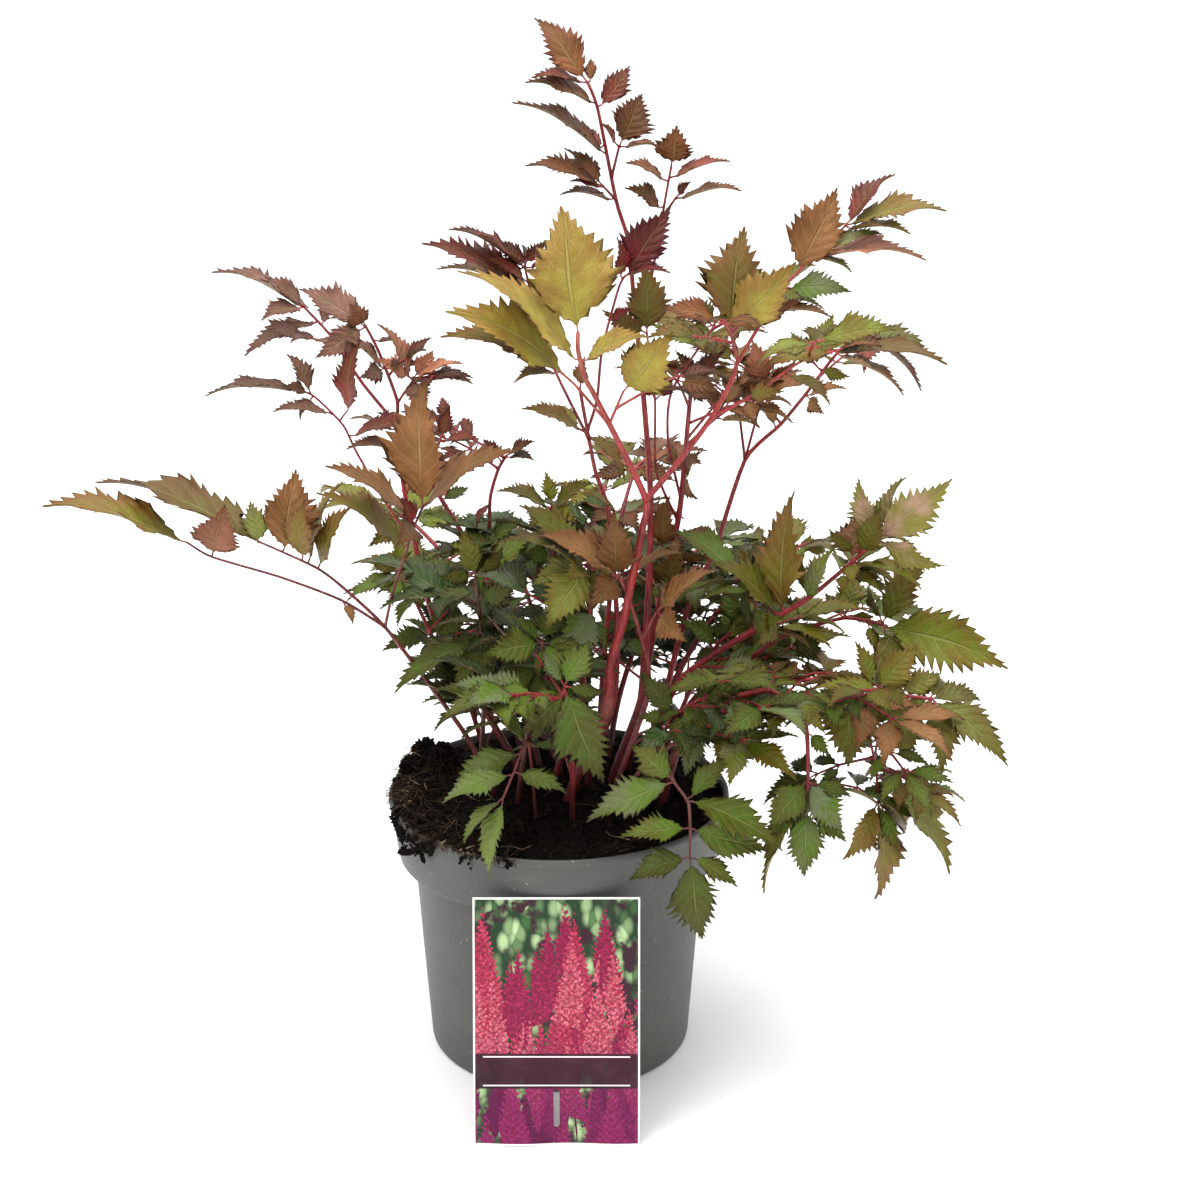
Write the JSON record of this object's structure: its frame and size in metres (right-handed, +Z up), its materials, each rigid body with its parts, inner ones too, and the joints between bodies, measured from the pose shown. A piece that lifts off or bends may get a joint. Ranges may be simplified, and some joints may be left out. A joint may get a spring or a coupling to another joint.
{
  "type": "astilbe plant in a nursery pot",
  "caption": "Astilbe in leaf in a round wide-collared nursery pot, with branching red-stalked leaves of toothed leaflets and a plant label leaning on the pot.",
  "frame": {"origin": "centre of the pot's flat underside, on the surface it stands on", "axes": "+Z up through the pot, the plant label faces -Y, +X to the right as seen from the label's side"},
  "size_m": [0.5041, 0.3872, 0.568],
  "materials": {
    "pot_plastic": "satin",
    "compost": "matte",
    "label_print": "satin",
    "leaf_bronze": "satin",
    "leaf_crimson": "satin",
    "leaf_dark_green": "satin",
    "leaf_green": "satin",
    "leaf_maroon": "satin",
    "leaf_brown": "satin",
    "leaf_olive": "satin",
    "leaf_silver": "satin",
    "leaf_golden": "satin"
  },
  "bodies": {
    "root": {"pot": "pot_plastic", "soil": "compost", "label_card": "label_print", "leaf_spire": "leaf_bronze", "leaf_crimson": "leaf_crimson", "leaf_golden": "leaf_golden", "leaf_maroon": "leaf_olive", "leaf_far_right": "leaf_brown", "leaf_low_left": "leaf_olive", "leaf_high_left": "leaf_brown", "leaf_far_left": "leaf_brown", "leaf_slim_left": "leaf_maroon", "leaf_brown": "leaf_brown", "leaf_mid_right": "leaf_green", "leaf_right": "leaf_green", "leaf_low_right": "leaf_silver", "leaf_hanging": "leaf_dark_green", "leaf_over_rim": "leaf_dark_green", "leaf_front_left": "leaf_green", "leaf_mound_a": "leaf_dark_green", "leaf_mound_b": "leaf_dark_green", "leaf_mound_c": "leaf_dark_green", "leaf_mound_d": "leaf_green", "leaf_mound_e": "leaf_dark_green", "leaf_mound_f": "leaf_dark_green", "leaf_mound_g": "leaf_dark_green", "leaf_mound_h": "leaf_green", "leaf_away_a": "leaf_green", "leaf_away_b": "leaf_dark_green", "leaf_away_c": "leaf_green", "leaf_away_d": "leaf_dark_green", "leaf_away_e": "leaf_green", "leaf_away_f": "leaf_bronze"}
  },
  "joints": []
}
